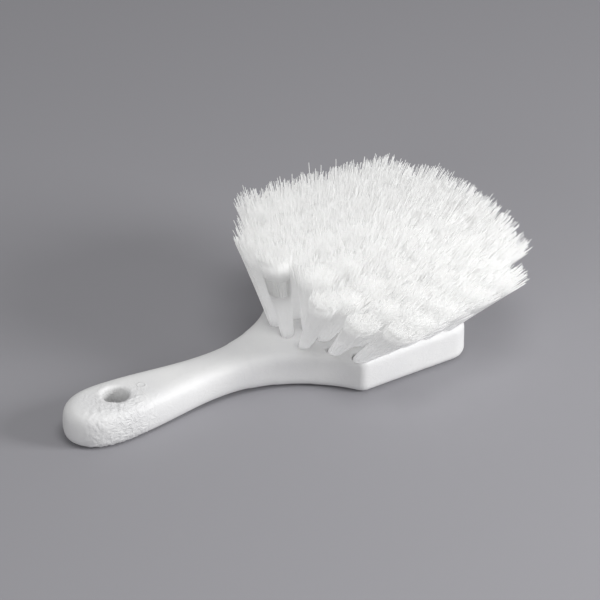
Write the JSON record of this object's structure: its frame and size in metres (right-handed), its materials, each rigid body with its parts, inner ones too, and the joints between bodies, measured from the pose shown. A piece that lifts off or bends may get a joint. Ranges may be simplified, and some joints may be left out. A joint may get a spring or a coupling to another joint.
{
  "type": "utility brush",
  "caption": "Short-handled white utility brush: square head with flared tufts of stiff nylon, waisted handle and a hanging hole, lying on its flat back.",
  "frame": {"origin": "centre of the whole brush's box, on the plane of the flat back", "axes": "+X along the handle towards the head, +Z from the flat back towards the bristle tips, +Y across the head"},
  "size_m": [0.237, 0.1264, 0.0598],
  "materials": {
    "block": "matt moulded foam polypropylene with a fine skin",
    "bristle": "satin translucent nylon filament",
    "anchor": "drawn flat wire"
  },
  "bodies": {
    "root": {"handle_block": "block", "tuft_anchors": "anchor", "tuft_row1_1": "bristle", "tuft_row1_2": "bristle", "tuft_row1_3": "bristle", "tuft_row1_4": "bristle", "tuft_row1_5": "bristle", "tuft_row2_1": "bristle", "tuft_row2_2": "bristle", "tuft_row2_3": "bristle", "tuft_row2_4": "bristle", "tuft_row2_5": "bristle", "tuft_row2_6": "bristle", "tuft_row3_1": "bristle", "tuft_row3_2": "bristle", "tuft_row3_3": "bristle", "tuft_row3_4": "bristle", "tuft_row3_5": "bristle", "tuft_row3_6": "bristle", "tuft_row3_7": "bristle", "tuft_row4_1": "bristle", "tuft_row4_2": "bristle", "tuft_row4_3": "bristle", "tuft_row4_4": "bristle", "tuft_row4_5": "bristle", "tuft_row4_6": "bristle", "tuft_row4_7": "bristle", "tuft_row5_1": "bristle", "tuft_row5_2": "bristle", "tuft_row5_3": "bristle", "tuft_row5_4": "bristle", "tuft_row5_5": "bristle", "tuft_row5_6": "bristle", "tuft_row5_7": "bristle", "tuft_row6_1": "bristle", "tuft_row6_2": "bristle", "tuft_row6_3": "bristle", "tuft_row6_4": "bristle", "tuft_row6_5": "bristle", "tuft_row6_6": "bristle", "tuft_row7_1": "bristle", "tuft_row7_2": "bristle", "tuft_row7_3": "bristle", "tuft_row7_4": "bristle", "tuft_row7_5": "bristle"}
  },
  "joints": []
}
